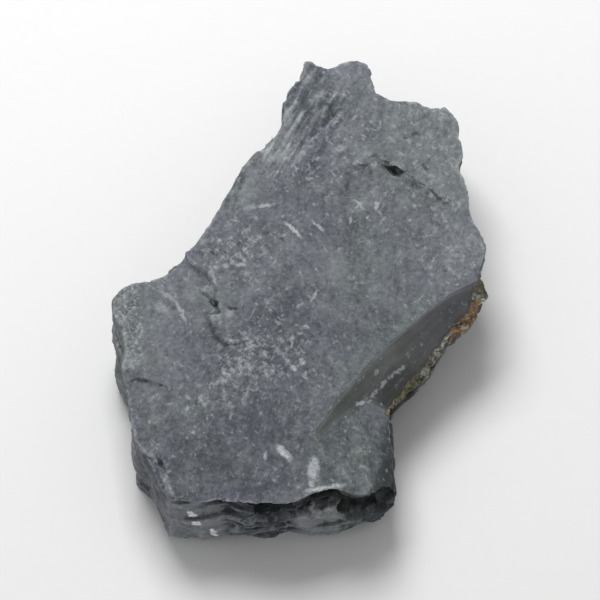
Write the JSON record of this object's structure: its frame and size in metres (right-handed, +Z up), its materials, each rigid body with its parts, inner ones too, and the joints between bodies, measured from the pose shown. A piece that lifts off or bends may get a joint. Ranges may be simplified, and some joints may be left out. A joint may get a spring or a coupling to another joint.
{
  "type": "slate rock",
  "caption": "flat, layered piece of dark grey slate for an aquarium or garden, with a smooth split top face, broken ragged sides and one slanting joint face",
  "frame": {"origin": "under the middle of the rock, on the plane of the flat cleavage face that it rests on", "axes": "+Z is up, across the cleavage layers; +Y runs the long way, towards the narrow spur; +X is to the right when looking along +Y"},
  "size_m": [0.1078, 0.1472, 0.031],
  "materials": {
    "slate": "dry split slate, matt, blue-grey with pale dust, white mineral flecks and a rust-stained edge"
  },
  "bodies": {
    "root": {"slate_rock": "slate"}
  },
  "joints": []
}
